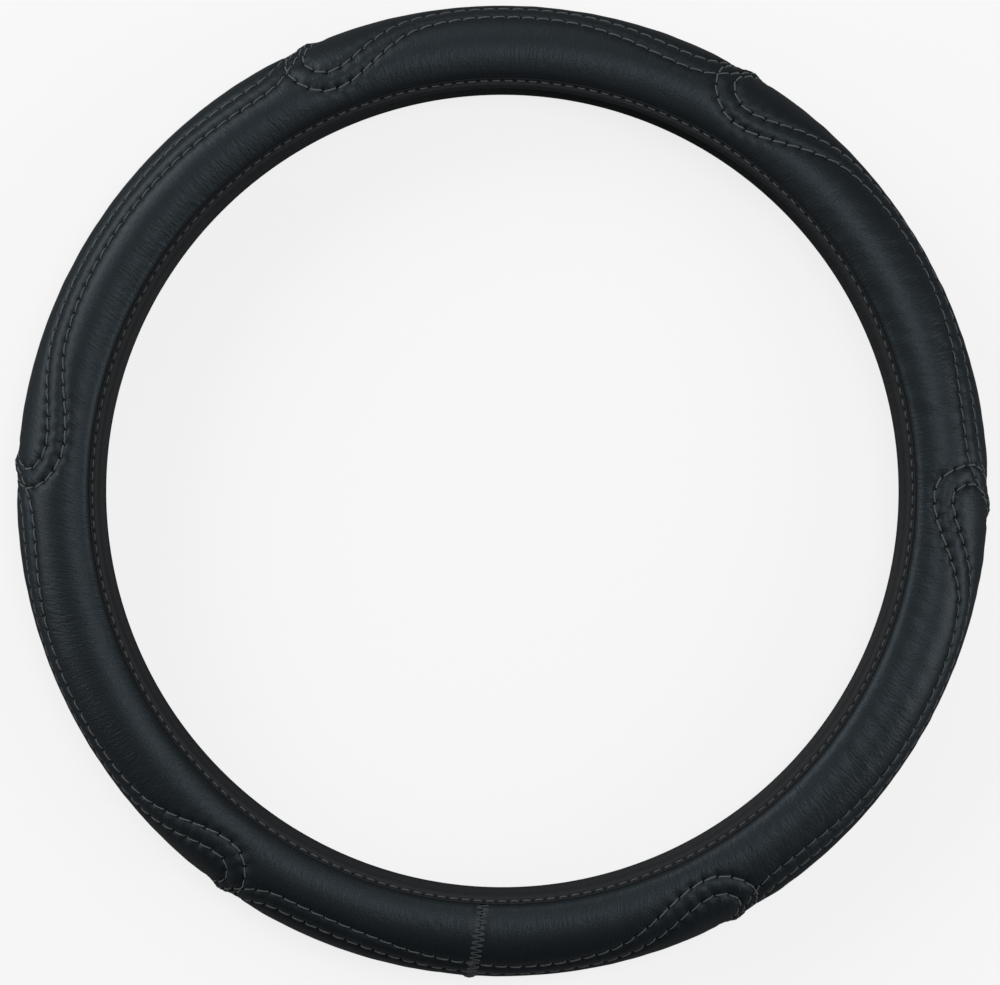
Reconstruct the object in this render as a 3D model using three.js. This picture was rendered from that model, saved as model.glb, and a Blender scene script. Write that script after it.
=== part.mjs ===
// A slip-on steering wheel cover: a soft leather-look sleeve, quilted with six long padded grips,
// around a moulded rubber ring that holds the C-shaped section open. The two edges of sleeve and
// ring are bound together with a folded tape. The cover lies on its back with its face up.
// Millimetres, +Z up. Clock angles run clockwise from twelve o'clock, which is +Y. Section angles
// run round the tube: 0 at the outside of the rim, +90 degrees at the face, -90 at the back.
import * as THREE from "three";

const degree = Math.PI / 180;

// The wheel that the cover is made for
const wheelDiameter = 380;
const rimThickness = 30;

// Walls, from the wheel outwards
const ribHeight = 0.6;
const rubberWall = 1.4;
const glueLine = 0.3;
const sleeveWall = 2.3;
const sleeveEdgeWall = 0.9;
const tapeThickness = 0.7;

// The slit that the wheel's rim enters by, and the edges along it
const slitHalfAngle = 38;
const tapeWidth = 5.7;
const tapeInnerWidth = 4;
const edgeRollWidth = 3.2;
const restFlatDepth = 0.4;

// Moulded ribs inside the rubber ring
const ribCount = 7;
const ribWidth = 2.6;
const ribSpread = 220;

// Quilting: two rows of stitches a fixed distance apart, sunk into the foam
const needleSpacing = 7.5;
const rowDepth = 1.1;
const rowShoulder = 3;

// Where two grips cross at the outside of the rim: the lump's height, its reach along and across
// the rim, and the share of the rows' depth that is lost on it
const crossingSwell = 1.3;
const crossingLength = 4.8;
const crossingWidth = 8;
const crossingShare = 0.6;

// The butt seam where the two ends of the sleeve meet, and how far it leans along the rim for each
// millimetre across it
const seamClock = 184;
const seamLean = -0.11;
const seamGap = 0.4;
const seamDip = 0.5;
const seamReach = 2.5;

// Each grip starts at a clock angle. Its seam reaches over the face by these section angles: at the
// rounded head, at the crest where it runs nearest the rim's outside, and at the dip before the tail.
// Clock angles from the grip's start: turn and tip are the head's nearest and deepest points. Rise
// and fall are how far the seam takes to get half-way from tip to crest and from dip to crest.
const grips = [
  { clock: -23.9, head: 87, crest: 33, dip: 51.5, turn: -2.2, tip: 1.7, rise: 7.2, fall: 16 },
  { clock: 31, head: 88, crest: 26.5, dip: 47, turn: -2.6, tip: 1.7, rise: 9.3, fall: 19 },
  { clock: 91.7, head: 91, crest: 29.5, dip: 44, turn: -3.8, tip: -0.9, rise: 8.3, fall: 18 },
  { clock: 151.2, head: 83, crest: 28.5, dip: 53, turn: -2.5, tip: 1.5, rise: 8.5, fall: 25 },
  { clock: 215.5, head: 76.5, crest: 27.5, dip: 41, turn: -1.1, tip: 2.3, rise: 7.7, fall: 16 },
  { clock: 273.4, head: 80.5, crest: 48, dip: 53, turn: -2, tip: 2.8, rise: 7.9, fall: 18 },
];

// How finely the curved faces are drawn
const ringSteps = 60;
const sleeveLines = 11;
const gripSteps = 70;
const fieldSpacing = 11;
const closestPoints = 2.1;

// Radii of the section, measured from the middle of the tube
const ribCrestRadius = rimThickness / 2;
const rubberInner = ribCrestRadius + ribHeight;
const rubberOuter = rubberInner + rubberWall;
const sleeveInner = rubberOuter + glueLine;
const sleeveOuter = sleeveInner + sleeveWall;
const sleeveEdgeOuter = sleeveInner + sleeveEdgeWall;
const tapeInner = sleeveEdgeOuter + glueLine;
const tapeOuter = tapeInner + tapeThickness;
const tapeLegOuter = rubberInner - glueLine;
const tapeLegInner = tapeLegOuter - tapeThickness;

const ringRadius = wheelDiameter / 2 - rimThickness / 2;
const tubeHeight = sleeveOuter - restFlatDepth;
const rimRadius = ringRadius + sleeveOuter;

// Section angles where the binding tape and the edges inside it end
const tapeEnd = (180 - slitHalfAngle) * degree;
const edgeEnd = tapeEnd - (tapeThickness + glueLine) / rubberOuter;
const tapeStart = tapeEnd - tapeWidth / tapeOuter;
const legStart = tapeEnd - tapeInnerWidth / tapeLegOuter;

// Flat distances across the sleeve, from the outside of the rim to where the tape covers it and to
// where it starts to roll down towards the tape
const coveredFrom = tapeStart * sleeveOuter;
const quiltEdge = coveredFrom - edgeRollWidth;

// A point by section radius, clock angle and section angle, both in radians
function tubePoint(radius, clock, section) {
  const fromAxis = ringRadius + radius * Math.cos(section);
  return new THREE.Vector3(
    fromAxis * Math.sin(clock),
    fromAxis * Math.cos(clock),
    tubeHeight + radius * Math.sin(section),
  );
}

// A profile point in the plane of the lathe: distance from the wheel's axis, and height
function sectionPoint(radius, section) {
  return new THREE.Vector2(
    ringRadius + radius * Math.cos(section),
    tubeHeight + radius * Math.sin(section),
  );
}

function arc(radius, from, to, steps) {
  const points = [];
  for (let i = 0; i <= steps; i++) {
    points.push(sectionPoint(radius, from + ((to - from) * i) / steps));
  }
  return points;
}

// Turns a closed section round the wheel's axis, with its steps in line with the sleeve's
function turned(profile) {
  const start = Math.PI - seamClock * degree;
  const geometry = new THREE.LatheGeometry([...profile, profile[0]], ringSteps, start, 2 * Math.PI);
  return geometry.rotateX(Math.PI / 2);
}

// The rubber ring: a C section with ribs along its inside that grip the wheel
function rubberRing() {
  const outside = arc(rubberOuter, -edgeEnd, edgeEnd, sleeveLines - 1);
  const inside = [sectionPoint(rubberInner, edgeEnd), sectionPoint(rubberInner, legStart)];
  const halfRib = ribWidth / 2 / rubberInner;
  for (let i = 0; i < ribCount; i++) {
    const middle = ribSpread * (0.5 - i / (ribCount - 1)) * degree;
    inside.push(sectionPoint(rubberInner, middle + halfRib));
    inside.push(sectionPoint(ribCrestRadius, middle));
    inside.push(sectionPoint(rubberInner, middle - halfRib));
  }
  inside.push(sectionPoint(rubberInner, -legStart), sectionPoint(rubberInner, -edgeEnd));
  return turned([...outside, ...inside]);
}

// The binding tape: folded round one edge of ring and sleeve, with a leg on each side
function bindingTape(side) {
  const web = tapeThickness / tapeOuter;
  const profile = [
    sectionPoint(tapeInner, tapeStart),
    sectionPoint(tapeOuter - tapeThickness / 3, tapeStart),
    sectionPoint(tapeOuter, tapeStart + web),
    sectionPoint(tapeOuter, (tapeStart + tapeEnd) / 2),
    sectionPoint(tapeOuter, tapeEnd - web),
    sectionPoint(tapeInner, tapeEnd),
    sectionPoint(tapeLegOuter, tapeEnd),
    sectionPoint(tapeLegInner, tapeEnd - web),
    sectionPoint(tapeLegInner, legStart),
    sectionPoint(tapeLegOuter, legStart),
    sectionPoint(tapeLegOuter, edgeEnd + glueLine / rubberOuter),
    sectionPoint(tapeInner, edgeEnd + glueLine / rubberOuter),
  ];
  if (side < 0) {
    const mirrored = profile.map((p) => new THREE.Vector2(p.x, 2 * tubeHeight - p.y));
    return turned(mirrored.reverse());
  }
  return turned(profile);
}

// The seam line of a grip, midway between its two rows, in flat coordinates: millimetres along
// the outside of the rim and millimetres across it. The half on the back is the half on the face
// turned round the middle of the grip, so that each grip is one closed loop.
function gripLine(index) {
  const { clock, head, crest, dip, turn, tip, rise, fall } = grips[index];
  const next = grips[(index + 1) % grips.length].clock;
  const length = (next - clock + 360) % 360;
  const face = [
    [0.7, 0],
    [turn * 0.75, head * 0.33],
    [turn, head * 0.56],
    [turn + (tip - turn) * 0.17, head * 0.79],
    [tip - 1.4, head * 0.965],
    [tip + 1.2, head * 0.985],
    [tip + rise * 0.52, crest + (head - crest) * 0.82],
    [tip + rise, (crest + head) / 2],
    [tip + rise * 1.5, crest + (head - crest) * 0.2],
    [tip + rise * 2.2, crest + (head - crest) * 0.05],
    [tip + rise * 3, crest],
    [length - fall * 1.35, crest + (dip - crest) * 0.12],
    [length - fall, (crest + dip) / 2],
    [length - fall * 0.74, crest + (dip - crest) * 0.87],
    [length - 9, dip],
    [length - 5.5, dip * 0.94],
    [length - 3.2, dip * 0.66],
  ];
  const back = face.map(([along, across]) => [length - along, -across]);
  const points = [...face, ...back].map(
    ([along, across]) =>
      new THREE.Vector3((clock + along) * degree * rimRadius, across * degree * sleeveOuter, 0),
  );
  return new THREE.CatmullRomCurve3(points, true, "centripetal");
}

// Points beside a grip's seam line, at a distance measured on the sleeve itself
function gripRow(index, offset, steps) {
  const curve = gripLine(index);
  const row = [];
  for (let i = 0; i < steps; i++) {
    const at = curve.getPointAt(i / steps);
    const shrink = (ringRadius + sleeveOuter * Math.cos(at.y / sleeveOuter)) / rimRadius;
    const along = curve.getTangentAt(i / steps);
    const across = new THREE.Vector2(-along.y, along.x * shrink).normalize();
    row.push(new THREE.Vector2(at.x + (across.x * offset) / shrink, at.y + across.y * offset));
  }
  return row;
}

const sleeveLength = 2 * Math.PI * rimRadius;
const seamStart = seamClock * degree * rimRadius;

// Distance along the sleeve from the leaning seam, between nought and the sleeve's whole length
function fromSeam(along, across) {
  const apart = along - seamStart - seamLean * across;
  return ((apart % sleeveLength) + sleeveLength) % sleeveLength;
}

// The points of every stitch row, close enough together to measure distances from
const rowPoints = [];
for (let index = 0; index < grips.length; index++) {
  for (const offset of [-needleSpacing / 2, needleSpacing / 2]) {
    for (const { x, y } of gripRow(index, offset, gripSteps * 6)) {
      rowPoints.push([fromSeam(x, y), y]);
    }
  }
}

function distanceToRow(along, across) {
  const shrink = (ringRadius + sleeveOuter * Math.cos(across / sleeveOuter)) / rimRadius;
  let nearest = Infinity;
  for (const [x, y] of rowPoints) {
    const apart = Math.abs(x - along + seamLean * (y - across));
    const around = Math.min(apart, sleeveLength - apart);
    nearest = Math.min(nearest, Math.hypot(around * shrink, y - across));
  }
  return nearest;
}

// How far the quilted sleeve stands above or below its plain tube at a flat point
function quiltHeight(along, across) {
  const fromRow = distanceToRow(along, across);
  let crossing = 0;
  for (const { clock } of grips) {
    const start = fromSeam(clock * degree * rimRadius, across);
    const apart = Math.abs(along - start);
    const around = Math.min(apart, sleeveLength - apart);
    crossing += Math.exp(-((around / crossingLength) ** 2) - (across / crossingWidth) ** 2);
  }
  const sunk = rowDepth * Math.exp(-((fromRow / (rowShoulder / 2)) ** 2));
  const seamDistance = Math.min(along, sleeveLength - along);
  const dip = seamDip * Math.exp(-((seamDistance / seamReach) ** 2));
  return crossingSwell * crossing - sunk * (1 - crossingShare * crossing) - dip;
}

// Clock angle in radians at a distance from the seam
function clockAt(along, across) {
  const trimmed = Math.min(Math.max(along, seamGap / 2), sleeveLength - seamGap / 2);
  return seamClock * degree + (trimmed + seamLean * across) / rimRadius;
}

// Section radius of the sleeve's outside: a plain tube that rolls down to a thin edge under the tape
function sleeveRadius(section) {
  const beforeTape = coveredFrom - Math.abs(section) * sleeveOuter;
  if (beforeTape <= 0) return sleeveEdgeOuter;
  const roll = Math.min(beforeTape / edgeRollWidth, 1);
  return sleeveEdgeOuter + (sleeveOuter - sleeveEdgeOuter) * Math.sqrt(1 - (1 - roll) ** 2);
}

// Wraps a flat point of the sleeve's outside round the tube, resting on the floor where it would
// sink below it
function wrapped([along, across]) {
  const section = across / sleeveOuter;
  const radius = sleeveRadius(section) + quiltHeight(along, across);
  const point = tubePoint(radius, clockAt(along, across), section);
  point.z = Math.max(point.z, 0);
  return point;
}

// Delaunay triangles of points in a plane, by adding one point at a time
function delaunay(points) {
  const far = 40 * sleeveLength;
  const corners = [...points, [-far, -far], [far, -far], [0, far]];
  const count = points.length;
  const circle = (a, b, c) => {
    const [ax, ay] = corners[a];
    const [bx, by] = [corners[b][0] - ax, corners[b][1] - ay];
    const [cx, cy] = [corners[c][0] - ax, corners[c][1] - ay];
    const twice = 2 * (bx * cy - by * cx);
    const x = (cy * (bx * bx + by * by) - by * (cx * cx + cy * cy)) / twice;
    const y = (bx * (cx * cx + cy * cy) - cx * (bx * bx + by * by)) / twice;
    return { a, b, c, x: x + ax, y: y + ay, square: x * x + y * y };
  };
  const order = points.map((_, i) => i).sort((i, j) => points[i][0] - points[j][0]);
  let open = [circle(count, count + 1, count + 2)];
  const closed = [];
  for (const i of order) {
    const [px, py] = points[i];
    const edges = new Map();
    const kept = [];
    for (const triangle of open) {
      const dx = px - triangle.x;
      if (dx > 0 && dx * dx > triangle.square) {
        closed.push(triangle);
      } else if (dx * dx + (py - triangle.y) ** 2 < triangle.square) {
        for (const [from, to] of [
          [triangle.a, triangle.b],
          [triangle.b, triangle.c],
          [triangle.c, triangle.a],
        ]) {
          const opposite = `${to},${from}`;
          if (edges.has(opposite)) edges.delete(opposite);
          else edges.set(`${from},${to}`, [from, to]);
        }
      } else {
        kept.push(triangle);
      }
    }
    for (const [from, to] of edges.values()) kept.push(circle(from, to, i));
    open = kept;
  }
  return [...closed, ...open]
    .filter(({ a, b, c }) => a < count && b < count && c < count)
    .map(({ a, b, c }) => [a, b, c]);
}

// Flat points of the quilted part of the sleeve: its border, the stitch rows with a shoulder on
// each side and a ridge between them, and an open field elsewhere
function quiltPoints(border) {
  const points = [...border];
  const cells = new Map();
  const cellOf = (along, across) =>
    `${Math.floor(along / closestPoints)},${Math.floor(across / closestPoints)}`;
  const isFree = ([along, across], gap) => {
    const reach = Math.ceil(gap / closestPoints);
    for (let i = -reach; i <= reach; i++) {
      for (let j = -reach; j <= reach; j++) {
        const cell = cellOf(along + i * closestPoints, across + j * closestPoints);
        for (const [x, y] of cells.get(cell) ?? []) {
          if (Math.hypot(x - along, y - across) < gap) return false;
        }
      }
    }
    return true;
  };
  const remember = (point) => {
    const cell = cellOf(...point);
    if (!cells.has(cell)) cells.set(cell, []);
    cells.get(cell).push(point);
  };
  const add = (point, gap) => {
    const inside =
      point[0] > gap / 2 && point[0] < sleeveLength - gap / 2 && Math.abs(point[1]) < quiltEdge - gap / 2;
    if (inside && isFree(point, gap)) {
      points.push(point);
      remember(point);
    }
  };
  border.forEach(remember);
  const half = needleSpacing / 2;
  for (const offset of [-half, half, 0, -half - rowShoulder, half + rowShoulder]) {
    for (let index = 0; index < grips.length; index++) {
      for (const point of gripRow(index, offset, gripSteps)) {
        add([fromSeam(point.x, point.y), point.y], closestPoints);
      }
    }
  }
  const restEdge = Math.sqrt(2 * sleeveOuter * restFlatDepth);
  const restMiddle = (-Math.PI / 2) * sleeveOuter;
  for (const across of [restMiddle - restEdge, restMiddle + restEdge]) {
    for (let along = fieldSpacing / 2; along < sleeveLength; along += fieldSpacing) {
      add([along, across], closestPoints);
    }
  }
  const fieldRow = fieldSpacing * 0.87;
  let stagger = 0;
  for (let across = fieldRow - quiltEdge; across < quiltEdge; across += fieldRow) {
    stagger = fieldSpacing / 2 - stagger;
    for (let along = stagger; along < sleeveLength; along += fieldSpacing) {
      add([along, across], fieldSpacing / 2);
    }
  }
  return points;
}

// The sleeve: foam-backed leather-look sheet, one strip whose ends meet at the seam
function sleeve() {
  const positions = [];
  const vertex = (point) => positions.push(point) - 1;
  const faces = [];
  const quad = (a, b, c, d) => faces.push([a, b, c], [a, c, d]);
  const alongAt = (step) => (sleeveLength * step) / ringSteps;
  const steps = Array.from({ length: ringSteps + 1 }, (_, i) => i);

  const border = [];
  for (const across of [-quiltEdge, quiltEdge]) {
    for (const step of steps) border.push([alongAt(step), across]);
  }
  const endLines = Math.round((2 * quiltEdge) / (fieldSpacing / 2));
  for (const step of [0, ringSteps]) {
    for (let i = 1; i < endLines; i++) {
      border.push([alongAt(step), quiltEdge * ((2 * i) / endLines - 1)]);
    }
  }
  const quilt = quiltPoints(border);
  const quiltVertices = quilt.map((point) => vertex(wrapped(point)));
  for (const [a, b, c] of delaunay(quilt)) {
    faces.push([quiltVertices[a], quiltVertices[c], quiltVertices[b]]);
  }

  const lipLines = [
    coveredFrom - edgeRollWidth * 0.5,
    coveredFrom - edgeRollWidth * 0.15,
    coveredFrom,
    edgeEnd * sleeveOuter,
  ];
  const lineOf = (across) => steps.map((step) => vertex(wrapped([alongAt(step), across])));
  const lowerLip = lipLines.map((across) => lineOf(-across));
  const upperLip = lipLines.map((across) => lineOf(across));
  const quiltLine = (side) => steps.map((step) => quiltVertices[side * (ringSteps + 1) + step]);
  const lowerLine = quiltLine(0);
  const upperLine = quiltLine(1);
  const strips = [
    [...[...lowerLip].reverse(), lowerLine],
    [upperLine, ...upperLip],
  ];
  for (const lines of strips) {
    for (let i = 0; i + 1 < lines.length; i++) {
      for (let k = 0; k < ringSteps; k++) {
        quad(lines[i][k], lines[i + 1][k], lines[i + 1][k + 1], lines[i][k + 1]);
      }
    }
  }

  const innerLines = [];
  for (let i = 0; i < sleeveLines; i++) {
    const section = edgeEnd * ((2 * i) / (sleeveLines - 1) - 1);
    innerLines.push(
      steps.map((step) => {
        const clock = clockAt(alongAt(step), section * sleeveOuter);
        return vertex(tubePoint(sleeveInner, clock, section));
      }),
    );
  }
  for (let i = 0; i + 1 < sleeveLines; i++) {
    for (let k = 0; k < ringSteps; k++) {
      const [near, next] = [innerLines[i], innerLines[i + 1]];
      quad(near[k], near[k + 1], next[k + 1], next[k]);
    }
  }

  const outerEdges = [lowerLip[lipLines.length - 1], upperLip[lipLines.length - 1]];
  const innerEdges = [innerLines[0], innerLines[sleeveLines - 1]];
  for (let k = 0; k < ringSteps; k++) {
    quad(outerEdges[0][k], outerEdges[0][k + 1], innerEdges[0][k + 1], innerEdges[0][k]);
    quad(outerEdges[1][k], innerEdges[1][k], innerEdges[1][k + 1], outerEdges[1][k + 1]);
  }

  for (const side of [0, 1]) {
    const end = side * ringSteps;
    const column = 2 * (ringSteps + 1) + side * (endLines - 1);
    const outline = [
      ...[...lowerLip].reverse().map((line) => line[end]),
      lowerLine[end],
      ...quiltVertices.slice(column, column + endLines - 1),
      upperLine[end],
      ...upperLip.map((line) => line[end]),
      ...[...innerLines].reverse().map((line) => line[end]),
    ];
    const flat = outline.map((index) => {
      const { x, y, z } = positions[index];
      return new THREE.Vector2(Math.hypot(x, y), z);
    });
    for (const [a, b, c] of THREE.ShapeUtils.triangulateShape(flat, [])) {
      const corners = [outline[a], outline[b], outline[c]];
      faces.push(side === 0 ? corners.reverse() : corners);
    }
  }

  const geometry = new THREE.BufferGeometry();
  geometry.setAttribute(
    "position",
    new THREE.Float32BufferAttribute(positions.flatMap((p) => [p.x, p.y, p.z]), 3),
  );
  geometry.setIndex(faces.flat());
  geometry.computeVertexNormals();
  return geometry;
}

function piece(name, geometry, material) {
  const mesh = new THREE.Mesh(geometry, material);
  mesh.name = name;
  return mesh;
}

const blackLeather = new THREE.MeshStandardMaterial({ color: 0x24282d, roughness: 0.45, metalness: 0 });
const blackTape = new THREE.MeshStandardMaterial({ color: 0x1f2223, roughness: 0.6, metalness: 0 });
const blackRubber = new THREE.MeshStandardMaterial({ color: 0x161717, roughness: 0.8, metalness: 0 });

const cover = new THREE.Group();
cover.add(piece("quilted_sleeve", sleeve(), blackLeather));
cover.add(piece("rubber_ring", rubberRing(), blackRubber));
cover.add(piece("face_edge_tape", bindingTape(1), blackTape));
cover.add(piece("back_edge_tape", bindingTape(-1), blackTape));

export default cover;
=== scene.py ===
"""Dresses a slip-on steering wheel cover: quilted sleeve, rubber ring, edge bindings and threads.

Flat coordinates on the sleeve are metres along the rim, clockwise from twelve o'clock, and metres
across it, from the outside of the rim towards the face. Section angles run round the tube: 0 at
the outside of the rim, 90 degrees at the face, -90 at the back.
"""

import math
import random

import bpy
import numpy as np
from bpy.props import FloatProperty, FloatVectorProperty, IntProperty, PointerProperty
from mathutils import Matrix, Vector, noise
from mathutils.geometry import delaunay_2d_cdt
from mathutils.kdtree import KDTree


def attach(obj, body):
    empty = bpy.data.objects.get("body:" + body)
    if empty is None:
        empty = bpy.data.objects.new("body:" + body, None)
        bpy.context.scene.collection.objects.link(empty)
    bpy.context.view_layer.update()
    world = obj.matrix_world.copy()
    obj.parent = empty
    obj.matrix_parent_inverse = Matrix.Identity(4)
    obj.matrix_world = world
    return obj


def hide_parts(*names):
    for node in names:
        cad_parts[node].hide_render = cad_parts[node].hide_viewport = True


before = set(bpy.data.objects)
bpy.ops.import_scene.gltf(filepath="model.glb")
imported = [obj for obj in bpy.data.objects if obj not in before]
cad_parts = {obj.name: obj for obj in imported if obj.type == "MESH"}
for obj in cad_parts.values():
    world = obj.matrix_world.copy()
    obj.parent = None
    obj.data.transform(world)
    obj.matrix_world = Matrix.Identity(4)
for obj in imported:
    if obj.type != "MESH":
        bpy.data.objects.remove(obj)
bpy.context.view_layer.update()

bl_info = {
    "name": "Steering wheel cover",
    "version": (1, 0, 0),
    "blender": (4, 5, 0),
    "location": "3D View > Sidebar > Cover",
    "description": "Adds a quilted steering wheel cover with its rubber ring, bindings and threads",
    "category": "Add Mesh",
}

MM = 0.001
DEGREE = math.pi / 180

# Each grip starts at a clock angle. Its seam reaches over the face by these section angles: at the
# rounded head, at the crest where it is nearest the rim's outside, and at the dip before the tail.
# Clock angles from the grip's start: turn and tip are the head's nearest and deepest points. Rise
# and fall are how far the seam takes to get half-way from tip to crest and from dip to crest.
GRIPS = [
    dict(clock=-23.9, head=87, crest=33, dip=51.5, turn=-2.2, tip=1.7, rise=7.2, fall=16),
    dict(clock=31, head=88, crest=26.5, dip=47, turn=-2.6, tip=1.7, rise=9.3, fall=19),
    dict(clock=91.7, head=91, crest=29.5, dip=44, turn=-3.8, tip=-0.9, rise=8.3, fall=18),
    dict(clock=151.2, head=83, crest=28.5, dip=53, turn=-2.5, tip=1.5, rise=8.5, fall=25),
    dict(clock=215.5, head=76.5, crest=27.5, dip=41, turn=-1.1, tip=2.3, rise=7.7, fall=16),
    dict(clock=273.4, head=80.5, crest=48, dip=53, turn=-2, tip=2.8, rise=7.9, fall=18),
]


def length(name, description, millimetres):
    return FloatProperty(
        name=name, description=description, default=millimetres * MM, unit="LENGTH", precision=4
    )


def angle(name, description, degrees):
    return FloatProperty(
        name=name, description=description, default=degrees * DEGREE, subtype="ANGLE"
    )


def count(name, description, default):
    return IntProperty(name=name, description=description, default=default, min=3)


def colour(name, description, default):
    return FloatVectorProperty(
        name=name, description=description, default=default, subtype="COLOR", size=3, min=0, max=1
    )


def power(name, description, default):
    return FloatProperty(name=name, description=description, default=default, min=0)


class CoverSizes(bpy.types.PropertyGroup):
    ring_radius: length("Ring radius", "From the wheel's axis to the middle of the tube", 175)
    tube_height: length("Tube height", "From the floor to the middle of the tube", 19.2)
    rib_crest_radius: length("Rib crest radius", "Section radius at the ribs' crests", 15)
    rubber_inner: length("Rubber inner radius", "Of the rubber's inside", 15.6)
    rubber_outer: length("Rubber outer radius", "Of the rubber's outside", 17)
    sleeve_inner: length("Sleeve inner radius", "Of the sleeve's inside", 17.3)
    sleeve_outer: length("Sleeve outer radius", "Of the padded sleeve", 19.6)
    sleeve_edge: length("Sleeve edge radius", "Of the sleeve under the tape", 18.2)
    tape_inner: length("Tape inner radius", "Of the tape's underside", 18.5)
    tape_outer: length("Tape outer radius", "Of the tape's outside", 19.2)
    leg_outer: length("Tape leg outer radius", "Of the inner leg's back", 15.3)
    leg_inner: length("Tape leg inner radius", "Of the inner leg's face", 14.6)
    slit_half_angle: angle("Slit half angle", "Half the slit that the rim enters by", 38)
    tape_width: length("Tape width", "Width of the tape's outer leg", 5.7)
    tape_leg_width: length("Tape leg width", "Width of the tape's inner leg", 4)
    edge_gap: length("Edge gap", "From the tape's fold to the edges inside it", 1)
    edge_roll: length("Edge roll", "How far the sleeve takes to roll down to its edge", 3.2)
    needle_spacing: length("Needle spacing", "Between the two rows of a quilted seam", 7.5)
    row_depth: length("Row depth", "How deep a row sinks into the foam", 0.65)
    row_shoulder: length("Row shoulder", "Width over which a row sinks", 3)
    crossing_swell: length("Crossing swell", "Height of the lump where two grips cross", 1.3)
    crossing_length: length("Crossing length", "Reach of that lump along the rim", 4.8)
    crossing_width: length("Crossing width", "Reach of that lump across the rim", 8)
    stitch_pitch: length("Stitch pitch", "Length of a quilting stitch", 5.9)
    thread_radius: length("Thread radius", "Radius of the quilting thread", 0.33)
    edge_pitch: length("Edge stitch pitch", "Length of a stitch along the tape", 4.85)
    edge_thread_radius: length("Edge thread radius", "Radius of the binding thread", 0.3)
    edge_row_inset: length("Edge row inset", "From the tape's outer edge to its stitches", 1.15)
    seam_clock: angle("Seam clock angle", "Where the two ends of the sleeve meet", 184)
    seam_lean: FloatProperty(
        name="Seam lean", description="Along the rim for each unit across it", default=-0.11
    )
    seam_gap: length("Seam gap", "Gap between the two ends of the sleeve", 0.4)
    seam_dip: length("Seam dip", "How far the sleeve rolls in at the seam", 0.5)
    seam_swell: length("Seam swell", "Lump of the seam at the outside of the rim", 1.1)
    lacing_width: length("Lacing width", "Width of the zigzag over the seam", 6.0)
    lacing_pitch: length("Lacing pitch", "Length of one zigzag stitch pair", 2.4)
    rib_count: count("Ribs", "Ribs inside the rubber ring", 7)
    rib_width: length("Rib width", "Width of a rib at its foot", 2.6)
    rib_spread: angle("Rib spread", "Section angle from the first rib to the last", 220)


class CoverColours(bpy.types.PropertyGroup):
    leather: colour("Leather", "Black leather-look sheet", (0.0075, 0.0099, 0.0121))
    # Lighter leather: painted highlight on the wrinkles' crests, and partly a lighter tone in
    # random patches
    leather_highlight_and_patches: colour("Leather crests", "Painted highlight on the raised grain, and lighter patches", (0.0130, 0.0170, 0.0206))
    tape: colour("Tape", "Matt charcoal binding", (0.0105, 0.0127, 0.0140))
    rubber: colour("Rubber", "Matt black rubber", (0.0180, 0.0180, 0.0185))
    thread: colour("Thread", "Mid-grey quilting thread", (0.096, 0.112, 0.118))
    lacing: colour("Lacing", "Dark thread over the seam", (0.036, 0.045, 0.051))


class StudioSettings(bpy.types.PropertyGroup):
    camera_height: length("Camera height", "From the floor to the camera", 1500)
    image_width: count("Image width", "Pixels across the photograph", 1000)
    image_height: count("Image height", "Pixels down the photograph", 985)
    ring_pixels: power("Ring radius in pixels", "Mean radius of the ring in the photograph", 484.5)
    centre_right: FloatProperty(name="Ring centre, across", default=502.4)
    centre_down: FloatProperty(name="Ring centre, down", default=491.0)
    light: power("Light", "Strength of all the lamps together", 1.0)
    sky: power("Sky", "Brightness of the plain room", 0.035)


class Value:
    """A shader socket that arithmetic can be written with."""

    def __init__(self, finish, socket):
        self.finish = finish
        self.socket = socket

    def _math(self, operation, first, second):
        return self.finish.node("ShaderNodeMath", {"operation": operation}, {0: first, 1: second})

    def __add__(self, other):
        return self._math("ADD", self, other)

    def __sub__(self, other):
        return self._math("SUBTRACT", self, other)

    def __rsub__(self, other):
        return self._math("SUBTRACT", other, self)

    def __mul__(self, other):
        return self._math("MULTIPLY", self, other)

    def __abs__(self):
        return self._math("ABSOLUTE", self, 0.0)

    __radd__ = __add__
    __rmul__ = __mul__


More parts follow.
